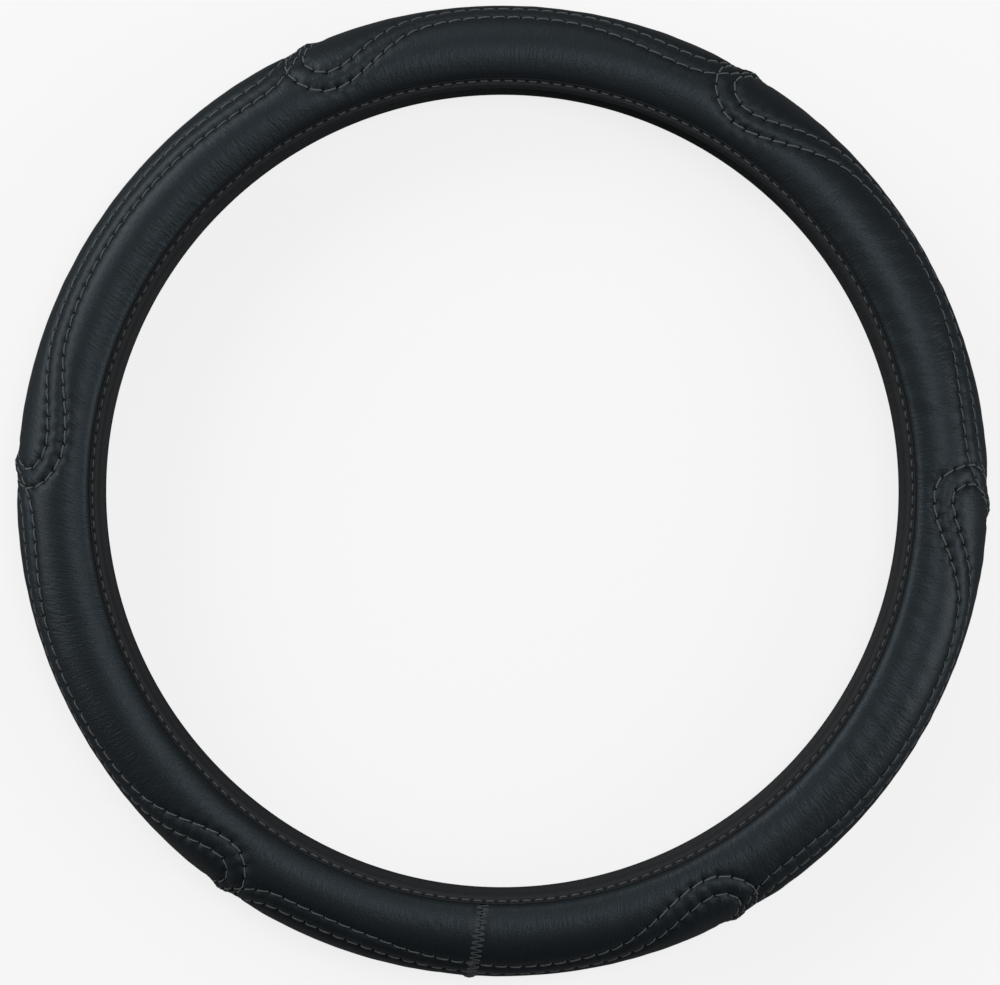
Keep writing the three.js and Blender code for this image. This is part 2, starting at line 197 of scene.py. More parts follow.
class Finish:
    """A procedural material on one Principled shader, whose other nodes all come from node()."""

    def __init__(self, name, **fixed):
        self.material = bpy.data.materials.new(name)
        self.material.use_nodes = True
        self.tree = self.material.node_tree
        self.shader = self.tree.nodes["Principled BSDF"]
        for socket, value in fixed.items():
            self.shader.inputs[socket.replace("_", " ")].default_value = value

    def node(self, kind, settings, inputs, output=0):
        """A node of this kind, its settings made first, then its sockets filled or linked."""
        made = self.tree.nodes.new(kind)
        for name, value in settings.items():
            setattr(made, name, value)
        for socket, value in inputs.items():
            if isinstance(value, Value):
                self.tree.links.new(value.socket, made.inputs[socket])
            else:
                made.inputs[socket].default_value = value
        return Value(self, made.outputs[output])

    def feed(self, socket, value):
        self.tree.links.new(value.socket, self.shader.inputs[socket])

    def scaled(self, coordinates, across):
        """Coordinates divided by a feature size in metres along each axis."""
        sockets = {0: coordinates, 1: tuple(1 / size for size in across)}
        return self.node("ShaderNodeVectorMath", {"operation": "MULTIPLY"}, sockets)

    def noise(self, coordinates, size, detail=2.0, distortion=0.0):
        """Noise whose features have this size in metres, or one size for each axis."""
        where = self.scaled(coordinates, size if isinstance(size, tuple) else (size,) * 3)
        sockets = {"Vector": where, "Scale": 1.0, "Detail": detail, "Distortion": distortion}
        return self.node("ShaderNodeTexNoise", {}, sockets)

    def attribute(self, name):
        return self.node("ShaderNodeAttribute", {"attribute_name": name}, {}, "Fac")

    def colour_between(self, factor, first, second):
        """A mix of two colours, each of them fixed or mixed before."""
        pair = [mixed if isinstance(mixed, Value) else (*mixed, 1) for mixed in (first, second)]
        sockets = {0: factor, 6: pair[0], 7: pair[1]}
        return self.node("ShaderNodeMix", {"data_type": "RGBA"}, sockets, 2)

    def relief(self, height):
        """Bump from a height in metres."""
        sockets = {"Strength": 1.0, "Distance": 1.0, "Height": height}
        self.feed("Normal", self.node("ShaderNodeBump", {}, sockets))


def times(factor, tint):
    """A darker or lighter tint of a colour."""
    return tuple(factor * level for level in tint)


def ramp(finish, value, low, high):
    """0 below low, 1 above high, smooth between."""
    sockets = {"Value": value, "From Min": low, "From Max": high}
    return finish.node("ShaderNodeMapRange", {"interpolation_type": "SMOOTHSTEP"}, sockets)


def leather_finish(colours):
    sheen = (0.74, 0.90, 1.0, 1)
    leather = Finish("black_leather_look", IOR=1.45, Specular_IOR_Level=0.45, Specular_Tint=sheen)
    flat = leather.node("ShaderNodeUVMap", {"uv_map": "flat"}, {})
    patches = leather.noise(flat, (0.045, 0.030, 1.0), detail=1.0)
    along = leather.node("ShaderNodeSeparateXYZ", {}, {0: flat}, "X")
    across = leather.node("ShaderNodeSeparateXYZ", {}, {0: flat}, "Y")
    lean = leather.noise(flat, (0.2, 1.0, 1.0), detail=0.0) - 0.5
    sideways = along + across * lean * 1.8
    leaning = leather.node("ShaderNodeCombineXYZ", {}, {"X": sideways, "Y": across})
    streaks = leather.noise(leaning, (0.0013, 0.0052, 1.0), detail=2.0, distortion=0.3)
    creases = leather.noise(leaning, (0.0040, 0.016, 1.0), detail=1.0, distortion=0.3)
    grain = leather.noise(flat, 0.0007, detail=1.0)
    lines = 1 - ramp(leather, abs(creases - 0.5), 0.0, 0.07)
    pebble = leather.node(
        "ShaderNodeTexVoronoi",
        {"feature": "SMOOTH_F1"},
        {"Vector": leather.scaled(flat, (0.0009, 0.0011, 1.0)), "Scale": 1.0, "Smoothness": 0.7},
    )
    sunk = leather.attribute("sunk")
    pit = leather.attribute("pit")
    strength = 0.4 + 0.8 * ramp(leather, patches, 0.35, 0.65)
    wrinkles = streaks * strength * 0.00017 + lines * strength * -0.00003
    leather.relief(wrinkles + pebble * -0.00006 + grain * 0.00008)
    # Painted highlight on the raised streaks' crests, and lighter patches at random
    crest_highlight_and_patches = ramp(leather, streaks, 0.35, 0.75) * 0.4 + patches * 0.4
    tone = leather.colour_between(crest_highlight_and_patches, colours.leather, colours.leather_highlight_and_patches)
    # Painted shade in the needle holes and along the stitch rows' grooves, darkening the leather
    # there
    painted_hole_and_row_shade = pit * 1.3 + sunk * 0.25
    leather.feed("Base Color", leather.colour_between(painted_hole_and_row_shade, tone, times(0.12, colours.leather)))
    leather.feed("Roughness", 0.50 - streaks * 0.08 + sunk * 0.10 + pit * 0.25)
    return leather.material


def tape_finish(colours):
    tape = Finish("charcoal_tape", IOR=1.45, Specular_IOR_Level=0.35)
    place = tape.node("ShaderNodeTexCoord", {}, {}, "Object")
    mottle = tape.noise(place, 0.003, detail=3.0)
    grain = tape.noise(place, 0.0006, detail=2.0)
    pit = tape.attribute("pit")
    tone = tape.colour_between(mottle, colours.tape, times(1.5, colours.tape))
    # Painted shade at the needle holes: the tape darkens towards them
    tape.feed("Base Color", tape.colour_between(pit * 1.3, tone, times(0.1, colours.tape)))
    tape.feed("Roughness", 0.58 + mottle * 0.14 + pit * 0.2)
    tape.relief(grain * 0.00012 + mottle * 0.00030)
    return tape.material


def rubber_finish(colours):
    rubber = Finish("moulded_rubber", Roughness=0.75, IOR=1.5)
    place = rubber.node("ShaderNodeTexCoord", {}, {}, "Object")
    cloud = rubber.noise(place, 0.012, detail=2.0)
    grain = rubber.noise(place, 0.0004, detail=2.0)
    tone = rubber.colour_between(cloud, colours.rubber, times(1.7, colours.rubber))
    rubber.feed("Base Color", tone)
    rubber.feed("Roughness", 0.66 + cloud * 0.2)
    rubber.relief(grain * 0.00005)
    return rubber.material


def thread_finish(name, tint):
    """Twisted thread: the plies run round it in a helix, read from the thread's own length."""
    thread = Finish(name, Roughness=0.7, IOR=1.5, Sheen_Weight=0.25)
    flat = thread.node("ShaderNodeUVMap", {"uv_map": "flat"}, {})
    plies = thread.node(
        "ShaderNodeTexWave",
        {"wave_type": "BANDS", "bands_direction": "DIAGONAL"},
        {"Vector": thread.scaled(flat, (0.0006, 0.9, 1.0)), "Scale": 0.55, "Distortion": 0.6},
        "Fac",
    )
    wear = thread.noise(flat, 0.009, detail=2.0)
    # Painted shade between the plies, and a random wear tone along the thread
    ply_shade_and_wear = 0.35 + plies * 0.35 + wear * 0.35
    thread.feed("Base Color", thread.colour_between(ply_shade_and_wear, times(0.45, tint), tint))
    thread.feed("Roughness", 0.78 - plies * 0.15)
    thread.relief(plies * 0.00008)
    return thread.material


def tube_point(sizes, radius, clock, section):
    """Points by section radius, clock angle and section angle, for numbers or whole arrays."""
    across = sizes.ring_radius + radius * np.cos(section)
    height = sizes.tube_height + radius * np.sin(section)
    return np.stack([across * np.sin(clock), across * np.cos(clock), height], axis=-1)


def tube_outward(clock, section):
    across = np.cos(section)
    return np.stack([across * np.sin(clock), across * np.cos(clock), np.sin(section)], axis=-1)


def closed_curve(points, steps):
    """A closed centripetal Catmull-Rom curve through flat points, with steps between each two."""
    share = np.linspace(0, 1, steps, endpoint=False)[:, None]
    pieces = []
    for i in range(len(points)):
        before, start, end, after = (np.array(points[(i + k) % len(points)]) for k in (-1, 0, 1, 2))
        first, middle, last = (
            math.dist(a, b) ** 0.5 for a, b in ((before, start), (start, end), (end, after))
        )
        gap = end - start
        leave = gap + middle * ((start - before) / first - (end - before) / (first + middle))
        arrive = gap + middle * ((after - end) / last - (after - start) / (middle + last))
        cubic = -2 * gap + leave + arrive
        square = 3 * gap - 2 * leave - arrive
        pieces.append(cubic * share**3 + square * share**2 + leave * share + start)
    return np.concatenate(pieces)


def unit(ways):
    return ways / np.linalg.norm(ways, axis=-1)[..., None]


def tree_of(points):
    """Finds the nearest of these points."""
    tree = KDTree(len(points))
    for number, point in enumerate(points):
        tree.insert(point, number)
    tree.balance()
    return tree


def bell(distance, reach):
    """1 at no distance, falling smoothly towards 0 past this reach."""
    return np.exp(-((distance / reach) ** 2))


# Relief of the sleeve, each with its reach, from a row of stitches: the foam's puff away from it,
# the thread's groove, the needle holes and the pleats that a stitch pulls in. Pleats are shallow
# at first and grow where the sheet is gathered, a little past each grip's head.
PUFF, PUFF_REACH = 0.3 * MM, 5 * MM
GROOVE, GROOVE_REACH = 0.15 * MM, 0.45 * MM
HOLE, HOLE_REACH = 0.75 * MM, 0.62 * MM
PLEAT, PLEAT_REACH = 0.24 * MM, 3.4 * MM
GATHER_BASE, GATHER_START, GATHER_REACH = 0.3, 8 * MM, 20 * MM
# Share of a row's depth and pleats that is lost on a crossing's lump
CROSSING_SHARE = 0.6
# Reach of the butt seam's dip along the rim, and of its lump along and across the rim
DIP_REACH, LUMP_LENGTH, LUMP_WIDTH = 2.5 * MM, 2.2 * MM, 8 * MM


class Quilt:
    """The stitch rows of the sleeve, and how far it stands above or below its plain tube."""

    STEPS = 12  # points on a row for each stitch
    CURVE_STEPS = 40  # points of the curve between two of the row's own points
    SMOOTHING = 10  # rounds of smoothing along a row

    def __init__(self, sizes):
        self.sizes = sizes
        self.rim = sizes.ring_radius + sizes.sleeve_outer
        self.length = 2 * math.pi * self.rim
        self.seam = sizes.seam_clock * self.rim
        self.tape_end = math.pi - sizes.slit_half_angle
        self.edge_end = self.tape_end - sizes.edge_gap / sizes.rubber_outer
        self.tape_start = self.tape_end - sizes.tape_width / sizes.tape_outer
        self.edge_row = self.tape_start + sizes.edge_row_inset / sizes.tape_outer
        edge_radius = sizes.ring_radius + sizes.tape_outer * math.cos(self.edge_row)
        self.edge_stitches = round(2 * math.pi * edge_radius / sizes.edge_pitch)
        self.covered_from = self.tape_start * sizes.sleeve_outer
        self.rows = [
            self.row(index, side * sizes.needle_spacing / 2)
            for index in range(len(GRIPS))
            for side in (-1, 1)
        ]
        points = self.plain(np.concatenate(self.rows))
        self.phases = np.arange(len(points)) % self.STEPS / self.STEPS
        self.row_tree = tree_of(points)
        self.hole_tree = tree_of(points[:: self.STEPS])

    def shrink(self, across):
        """How much shorter the sleeve is there than at the outside of the rim."""
        sizes = self.sizes
        section = across / sizes.sleeve_outer
        return (sizes.ring_radius + sizes.sleeve_outer * np.cos(section)) / self.rim

    def plain(self, flat):
        section = flat[..., 1] / self.sizes.sleeve_outer
        return tube_point(self.sizes, self.sizes.sleeve_outer, flat[..., 0] / self.rim, section)

    def row(self, index, offset):
        """One closed row of stitches beside a grip's seam: flat points, as many for each stitch."""
        clock, head, crest, dip, turn, tip, rise, fall = GRIPS[index].values()
        span = (GRIPS[(index + 1) % len(GRIPS)]["clock"] - clock) % 360
        drop, sink = head - crest, dip - crest
        # Degrees along the rim from the grip's start, and section degrees over the face
        face = [
            (0.7, 0),
            (turn * 0.75, head * 0.33),
            (turn, head * 0.56),
            (turn + (tip - turn) * 0.17, head * 0.79),
            (tip - 1.4, head * 0.965),
            (tip + 1.2, head * 0.985),
            (tip + rise * 0.52, crest + drop * 0.82),
            (tip + rise, (crest + head) / 2),
            (tip + rise * 1.5, crest + drop * 0.2),
            (tip + rise * 2.2, crest + drop * 0.05),
            (tip + rise * 3, crest),
            (span - fall * 1.35, crest + sink * 0.12),
            (span - fall, (crest + dip) / 2),
            (span - fall * 0.74, crest + sink * 0.87),
            (span - 9, dip),
            (span - 5.5, dip * 0.94),
            (span - 3.2, dip * 0.66),
        ]
        # The back has the same points turned half round
        turned = [(span - along, -across) for along, across in face]
        radius = self.sizes.sleeve_outer
        points = [
            ((clock + along) * DEGREE * self.rim, across * DEGREE * radius)
            for along, across in face + turned
        ]
        curve = closed_curve(points, self.CURVE_STEPS)
        heading = np.roll(curve, -1, axis=0) - np.roll(curve, 1, axis=0)
        shrink = self.shrink(curve[:, 1])
        sideways = unit(np.stack([-heading[:, 1], heading[:, 0] * shrink], axis=1))
        aside = offset * sideways / np.stack([shrink, np.ones_like(shrink)], axis=1)
        return self.spaced(curve + aside)

    def spaced(self, curve):
        """The same closed curve with whole stitches of even length."""
        closed = np.concatenate([curve, curve[:1]])
        steps = np.linalg.norm(np.diff(self.plain(closed), axis=0), axis=1)
        travelled = np.concatenate([[0], np.cumsum(steps)])
        stitches = round(travelled[-1] / self.sizes.stitch_pitch)
        wanted = np.linspace(0, travelled[-1], stitches * self.STEPS, endpoint=False)
        row = np.stack([np.interp(wanted, travelled, closed[:, k]) for k in (0, 1)], axis=1)
        for _ in range(self.SMOOTHING):
            row = (np.roll(row, -2, axis=0) + 2 * row + np.roll(row, 2, axis=0)) / 4
        return row

    def from_seam(self, along, across):
        """Distance along the rim from the leaning seam."""
        return (along - self.seam - self.sizes.seam_lean * across) % self.length

    def clock(self, from_seam, across):
        """Clock angle at a distance from the leaning seam."""
        return (from_seam + self.seam + self.sizes.seam_lean * across) / self.rim

    def before_tape(self, across):
        """0 under the tape, rising to 1 over the roll beside it."""
        return np.clip((self.covered_from - np.abs(across)) / self.sizes.edge_roll, 0, 1)

    def height(self, flat, pits=True):
        """Height above the plain tube, and nearness to a row and to a needle hole."""
        sizes = self.sizes
        where = self.plain(flat)
        found = [self.row_tree.find(point) for point in where]
        apart = np.array([distance for _, _, distance in found])
        phase = self.phases[[number for _, number, _ in found]]
        near = bell(apart, sizes.row_shoulder / 2)
        across = flat[:, 1]
        crossing = np.zeros(len(flat))
        gathered = np.full(len(flat), GATHER_BASE)
        for grip in GRIPS:
            away = (flat[:, 0] - grip["clock"] * DEGREE * self.rim + self.length / 2) % self.length
            away -= self.length / 2
            reach = (away / sizes.crossing_length) ** 2 + (across / sizes.crossing_width) ** 2
            crossing += np.exp(-reach)
            gathered += bell(away - GATHER_START, GATHER_REACH)
        height = sizes.crossing_swell * crossing
        height -= sizes.row_depth * near * (1 - CROSSING_SHARE * crossing)
        height += PUFF * (1 - bell(apart, PUFF_REACH))
        pit = np.zeros(len(flat))
        if pits:
            to_hole = np.array([self.hole_tree.find(point)[2] for point in where])
            pit = bell(to_hole, HOLE_REACH)
            height -= HOLE * pit
            height -= GROOVE * bell(apart, GROOVE_REACH)
            pull = PLEAT * np.cos(2 * math.pi * phase) * gathered
            height -= pull * (1 - CROSSING_SHARE * crossing) * bell(apart, PLEAT_REACH)
        from_seam = self.from_seam(flat[:, 0], across)
        to_seam = np.minimum(from_seam, self.length - from_seam)
        height -= sizes.seam_dip * bell(to_seam, DIP_REACH)
        lump = (to_seam / LUMP_LENGTH) ** 2 + (across / LUMP_WIDTH) ** 2
        height += sizes.seam_swell * np.exp(-lump)
        return height * self.before_tape(across), near, pit

    def radius(self, across):
        """Section radius of the sleeve, which rolls down to a thin edge under the tape."""
        rise = self.sizes.sleeve_outer - self.sizes.sleeve_edge
        return self.sizes.sleeve_edge + rise * np.sqrt(1 - (1 - self.before_tape(across)) ** 2)

    def surface(self, flat, height, lowest):
        """Points at these heights on the padded sleeve, none below lowest, and the ways outward."""
        clock, section = flat[:, 0] / self.rim, flat[:, 1] / self.sizes.sleeve_outer
        point = tube_point(self.sizes, self.radius(flat[:, 1]) + height, clock, section)
        point[:, 2] = np.maximum(point[:, 2], lowest)
        return point, tube_outward(clock, section)


# Folds: the clock angle where the sheet is loosest, then the even and the leaning ones' height in
# millimetres and size in metres along and across the rim, and the lean
LOOSEST = 95 * DEGREE
EVEN_FOLD, EVEN_LONG, EVEN_WIDE = 0.13, 0.0075, 0.032
LEANING_FOLD, LEANING_LONG, LEANING_WIDE, LEAN = 0.22, 0.0062, 0.030, 0.5


def folds(quilt, flat):
    """Soft folds of the sheet across the rim, which lean and grow where it is looser."""
    heights = []
    for from_seam, across in flat:
        loose = max(0.0, math.cos(quilt.clock(from_seam, across) - LOOSEST))
        even = noise.noise(Vector((from_seam / EVEN_LONG, across / EVEN_WIDE, 0.0)))
        leaned = (from_seam + LEAN * across) / LEANING_LONG
        leaning = noise.noise(Vector((leaned, across / LEANING_WIDE, 5.0)))
        heights.append((EVEN_FOLD * even + LEANING_FOLD * loose * leaning) * MM)
    return np.array(heights)


# Points of the sleeve's mesh: the grid that near points are looked for in, the ring round a needle
# hole with its gaps, the lines beside a row (shift, one in how many points) with their gap, and
# the even points elsewhere with the share of their spacing from line to line, and their gap
CELL = 0.7 * MM
HOLE_RING, HOLE_RING_POINTS, HOLE_GAP, HOLE_RING_GAP = 0.6 * MM, 6, 0.3 * MM, 0.45 * MM
BESIDE_ROW = ((0, 2), (0.75 * MM, 2), (1.6 * MM, 3))
BESIDE_ROW_GAP = 0.62 * MM
FIELD_SPACING, FIELD_LINES, FIELD_GAP = 1.5 * MM, 0.87, 0.85 * MM


def scattered(quilt, border):
    """Flat points for the sleeve's mesh, from the seam: closest beside the rows."""
    edge = quilt.edge_end * quilt.sizes.sleeve_outer
    cells = {}
    points = list(border)

    def add(along, across, gap):
        if not (gap < along < quilt.length - gap and abs(across) < edge - gap):
            return
        column, line = int(along / CELL), int(across // CELL)
        for i in range(column - 1, column + 2):
            for j in range(line - 1, line + 2):
                for x, y in cells.get((i, j), ()):
                    if (x - along) ** 2 + (y - across) ** 2 < gap * gap:
                        return
        cells.setdefault((column, line), []).append((along, across))
        points.append((along, across))

    for row in quilt.rows:
        for along, across in row[:: quilt.STEPS]:
            along = quilt.from_seam(along, across)
            add(along, across, HOLE_GAP)
            for turn in range(HOLE_RING_POINTS):
                at = turn * 2 * math.pi / HOLE_RING_POINTS
                x, y = HOLE_RING * math.cos(at), HOLE_RING * math.sin(at)
                add(along + x, across + y, HOLE_RING_GAP)
    for shift, every in BESIDE_ROW:
        for row in quilt.rows:
            heading = np.roll(row, -1, axis=0) - np.roll(row, 1, axis=0)
            side = unit(np.stack([-heading[:, 1], heading[:, 0]], axis=1))
            for way in (-1, 1) if shift else (1,):
                for along, across in (row + way * shift * side)[::every]:
                    add(quilt.from_seam(along, across), across, BESIDE_ROW_GAP)

    structured = tree_of([(*point, 0) for point in points])
    lines = int(2 * edge / (FIELD_SPACING * FIELD_LINES))
    columns = int(quilt.length / FIELD_SPACING)
    for line in range(1, lines):
        across = edge * (2 * line / lines - 1)
        for column in range(columns):
            along = quilt.length * (column + 0.25 + 0.5 * (line % 2)) / columns
            if structured.find((along, across, 0))[2] > FIELD_GAP:
                points.append((along, across))
    return points


def mesh_object(name, vertices, faces, material, edges=()):
    mesh = bpy.data.meshes.new(name)
    mesh.from_pydata([tuple(v) for v in vertices], edges, [tuple(f) for f in faces])
    mesh.materials.append(material)
    mesh.shade_smooth()
    made = bpy.data.objects.new(name, mesh)
    bpy.context.scene.collection.objects.link(made)
    return made


def set_flat_map(mesh, flat):
    """Stores flat coordinates in metres as the mesh's UV map."""
    layer = mesh.uv_layers.new(name="flat")
    corners = np.zeros(len(mesh.loops), np.int32)
    mesh.loops.foreach_get("vertex_index", corners)
    layer.uv.foreach_set("vector", np.asarray(flat, np.float32)[corners].ravel())


def set_attribute(mesh, name, values):
    layer = mesh.attributes.new(name, "FLOAT", "POINT")
    layer.data.foreach_set("value", np.asarray(values, np.float32))


BORDER_STEP, END_STEP = 2.4 * MM, 1.5 * MM
INNER_LINES = 12


def sleeve_mesh(sizes, quilt, material):
    """The quilted sleeve: its outside, its plain inside, and the two edges and ends between."""
    edge = quilt.edge_end * sizes.sleeve_outer
    columns = round(quilt.length / BORDER_STEP)
    ends = round(2 * edge / END_STEP)
    line = [quilt.length * i / columns for i in range(columns + 1)]
    border = [(x, side * edge) for side in (-1, 1) for x in line]
    for x in (0.0, quilt.length):
        border += [(x, edge * (2 * i / ends - 1)) for i in range(1, ends)]
    points = [Vector(point) for point in scattered(quilt, border)]
    found, _, triangles, came_from, _, _ = delaunay_2d_cdt(points, [], [], 0, 1e-9)
    place_of = {source: place for place, sources in enumerate(came_from) for source in sources}
    flat = np.array([tuple(point) for point in found])
    across = flat[:, 1]
    along = quilt.clock(flat[:, 0], across) * quilt.rim
    height, near, pit = quilt.height(np.stack([along, across], axis=1))
    radius = quilt.radius(across) + height + folds(quilt, flat) * quilt.before_tape(across)
    ends_at = sizes.seam_gap / 2, quilt.length - sizes.seam_gap / 2
    clock = quilt.clock(np.clip(flat[:, 0], *ends_at), across)
    outside = tube_point(sizes, radius, clock, across / sizes.sleeve_outer)
    outside[:, 2] = np.maximum(outside[:, 2], 0)
    faces = [tuple(reversed(triangle)) for triangle in triangles]

    inner = []
    inner_flat = []
    for i in range(INNER_LINES + 1):
        section = quilt.edge_end * (2 * i / INNER_LINES - 1)
        across = section * sizes.sleeve_outer
        for x in line:
            clock = quilt.clock(min(max(x, ends_at[0]), ends_at[1]), across)
            inner.append(tube_point(sizes, sizes.sleeve_inner, clock, section))
            inner_flat.append((x, across))

    starts = range(len(outside), len(outside) + len(inner), len(line))
    rows = [
        [place_of[k] for k in range(len(line))],
        *[range(start, start + len(line)) for start in starts],
        [place_of[len(line) + k] for k in range(len(line))],
    ]
    for low, high in zip(rows, rows[1:]):
        for k in range(columns):
            faces.append((low[k], low[k + 1], high[k + 1], high[k]))
    for side in (0, 1):
        end = side * columns
        first = 2 * len(line) + side * (ends - 1)
        outline = [rows[0][end], *[place_of[first + i] for i in range(ends - 1)]]
        outline += [row[end] for row in rows[:0:-1]]
        faces.append(outline if side else outline[::-1])

    made = mesh_object("sleeve_leather", [*outside, *inner], faces, material)
    set_flat_map(made.data, [*flat, *inner_flat])
    for name, values in (("sunk", near), ("pit", pit)):
        set_attribute(made.data, name, [*values, *[0.0] * len(inner)])
    return made


SIDES = 6  # of a thread
FLATTENED = 0.85  # a thread's height by its width
# One stitch from end to end: share of its length, lift over the surface and girth in thread radii
STITCH = (
    (0.08, -1.8, 0.75),
    (0.14, -0.3, 0.9),
    (0.24, 0.5, 1.0),
    (0.5, 0.75, 1.0),
    (0.76, 0.5, 1.0),
    (0.86, -0.3, 0.9),
    (0.92, -1.8, 0.75),
)
SHARES, LIFTS, GIRTHS = np.array(STITCH).T


def stitch_mesh(name, paths, outward, radius, material):
    """Stitches as closed threads. A path is the surface under one stitch at each of SHARES."""
    paths, outward = np.asarray(paths), np.asarray(outward)
    stitches, rings = paths.shape[:2]
    centres = paths + outward * (LIFTS[:, None] * radius)
    heading = unit(np.gradient(centres, axis=1))
    side = unit(np.cross(outward, heading))
    up = np.cross(heading, side)
    girth = GIRTHS * radius
    vertices = []
    for turn in range(SIDES):
        way = turn * 2 * math.pi / SIDES
        reach = (side * math.cos(way) + up * math.sin(way) * FLATTENED) * girth[None, :, None]
        vertices.append(centres + reach)
    vertices = np.stack(vertices, axis=2).reshape(-1, 3)
    faces = []
    for stitch in range(stitches):
        start = stitch * rings * SIDES
        for ring in range(rings - 1):
            low = start + ring * SIDES
            for turn in range(SIDES):
                after = (turn + 1) % SIDES
                faces.append((low + turn, low + after, low + SIDES + after, low + SIDES + turn))
        faces.append([start + turn for turn in range(SIDES - 1, -1, -1)])
        faces.append([start + (rings - 1) * SIDES + turn for turn in range(SIDES)])
    made = mesh_object(name, vertices, faces, material)
    span = np.linalg.norm(paths[:, -1] - paths[:, 0], axis=1).mean()
    along = (np.arange(stitches)[:, None] + SHARES) * span
    around = np.tile(np.linspace(0, 1, SIDES), stitches * rings)
    set_flat_map(made.data, np.stack([np.repeat(along, SIDES), around], axis=1))
    return made


# How far a stitch strays from its row and slants across it, in millimetres
STRAY, SLANT = 0.08, 0.5


def quilting(sizes, quilt, index, material):
    """The two rows of stitches round one grip."""
    chance = random.Random(index)
    stitches = []
    for row in quilt.rows[2 * index : 2 * index + 2]:
        closed = np.concatenate([row, row[:1]])
        heights = quilt.height(closed, pits=False)[0]
        places = np.arange(len(closed))
        for start in range(0, len(row), quilt.STEPS):
            at = start + SHARES * quilt.STEPS
            flat = np.stack([np.interp(at, places, closed[:, k]) for k in (0, 1)], axis=1)
            flat[:, 1] += chance.uniform(-STRAY, STRAY) * MM
            slant = flat[-1] - flat[0]
            slant = np.array([-slant[1], slant[0]]) / np.hypot(*slant)
            flat += slant * (0.5 - SHARES)[:, None] * SLANT * MM
            height = np.interp(at, places, heights)
            stitches.append(quilt.surface(flat, height, sizes.thread_radius))
    name = f"quilting_thread_{index + 1}"
    return stitch_mesh(name, *zip(*stitches), sizes.thread_radius, material)


# Binding tape in millimetres: where its middle line starts, points across its stitch row, how far
# off the others count, the corner at its fold, the puff between row and fold, depth and reach of
# the row's groove and of a needle hole; then how far its cut edges bulge by half its thickness,
# and how many sections go to a stitch
TAPE_BEGINS = 0.02
ROW_REACH = (-1.0, -0.55, -0.25, 0, 0.25, 0.55, 1.0)
FAR = 9.0
FOLD_CORNER, FOLD_TURNS = 0.9, (30, 60, 90)
TAPE_PUFF, PUFF_SHARES = 0.3, (0.4, 0.55, 0.7, 0.85, 1.0)
TAPE_GROOVE, TAPE_GROOVE_REACH = 0.3, 0.8
TAPE_HOLE, TAPE_HOLE_REACH = 0.35, 0.6
EDGE_BULGE = 0.6
TAPE_STEPS = 8


def tape_section(sizes, quilt):
    """The folded tape's closed section as flat points, and how far each is from the stitch row."""
    half = (sizes.tape_outer - sizes.tape_inner) / 2
    outer = sizes.tape_outer - half
    inner = sizes.leg_outer - half
    corner = FOLD_CORNER * MM
    fold = quilt.tape_end - half / sizes.tape_outer
    row = quilt.edge_row
    leg_start = quilt.tape_end - sizes.tape_leg_width / sizes.leg_outer
    middle = [(outer, quilt.tape_start + TAPE_BEGINS * MM / outer)]
    middle += [(outer, row + beside * MM / outer) for beside in ROW_REACH]
    straight = fold - corner / outer
    for share in PUFF_SHARES:
        puff = TAPE_PUFF * MM * math.sin(share * math.pi)
        middle.append((outer + puff, row + share * (straight - row)))
    turned = [
        (corner * (1 - math.cos(turn * DEGREE)), corner * (1 - math.sin(turn * DEGREE)))
        for turn in FOLD_TURNS
    ]
    middle += [(outer - level, fold - sweep / outer) for level, sweep in turned]
    middle += [(inner + level, fold - sweep / inner) for level, sweep in turned[::-1]]
    straight = fold - corner / inner
    middle += [(inner, straight + share * (leg_start - straight)) for share in (0.0, 0.5, 1.0)]
    flat = np.array([(radius * math.cos(at), radius * math.sin(at)) for radius, at in middle])
    heading = unit(np.gradient(flat, axis=0))
    side = np.stack([heading[:, 1], -heading[:, 0]], axis=1) * half
    ends = flat[[-1, 0]] + heading[[-1, 0]] * half * [[EDGE_BULGE], [-EDGE_BULGE]]
    section = np.concatenate([flat + side, ends[:1], (flat - side)[::-1], ends[1:]])
    from_row = np.full(len(section), FAR)
    from_row[1 : 1 + len(ROW_REACH)] = ROW_REACH
    return section, from_row


def binding(sizes, quilt, side, material):
    """One binding tape, drawn down along its stitch row and most of all at each needle hole."""
    section, from_row = tape_section(sizes, quilt)
    steps = quilt.edge_stitches * TAPE_STEPS
    clock = np.arange(steps) * 2 * math.pi / steps
    phase = np.arange(steps) % TAPE_STEPS
    from_hole = np.minimum(phase, TAPE_STEPS - phase) * sizes.edge_pitch / TAPE_STEPS / MM
    pit = bell(np.hypot(from_hole[:, None], from_row[None, :]), TAPE_HOLE_REACH)
    groove = bell(from_row, TAPE_GROOVE_REACH)[None, :]
    pull = (TAPE_GROOVE * groove + TAPE_HOLE * pit) * MM
    shrunk = section[None, :, :] * (1 - pull / np.linalg.norm(section, axis=1))[:, :, None]
    from_axis = sizes.ring_radius + shrunk[:, :, 0]
    height = sizes.tube_height + side * shrunk[:, :, 1]
    x, y = from_axis * np.sin(clock)[:, None], from_axis * np.cos(clock)[:, None]
    vertices = np.stack([x, y, height], axis=2).reshape(-1, 3)
    faces = []
    across = len(section)
    for step in range(steps):
        this, after = step * across, (step + 1) % steps * across
        for k in range(across):
            n = (k + 1) % across
            corners = (this + k, this + n, after + n, after + k)
            faces.append(corners if side < 0 else corners[::-1])
    name = "face_binding" if side > 0 else "back_binding"
    made = mesh_object(name, vertices, faces, material)
    set_attribute(made.data, "pit", pit.ravel())
    return made


# Share of its pitch that a stitch along the tape shows, and how deep it sits, in millimetres
EDGE_STITCH, EDGE_SUNK = 0.7, 0.2


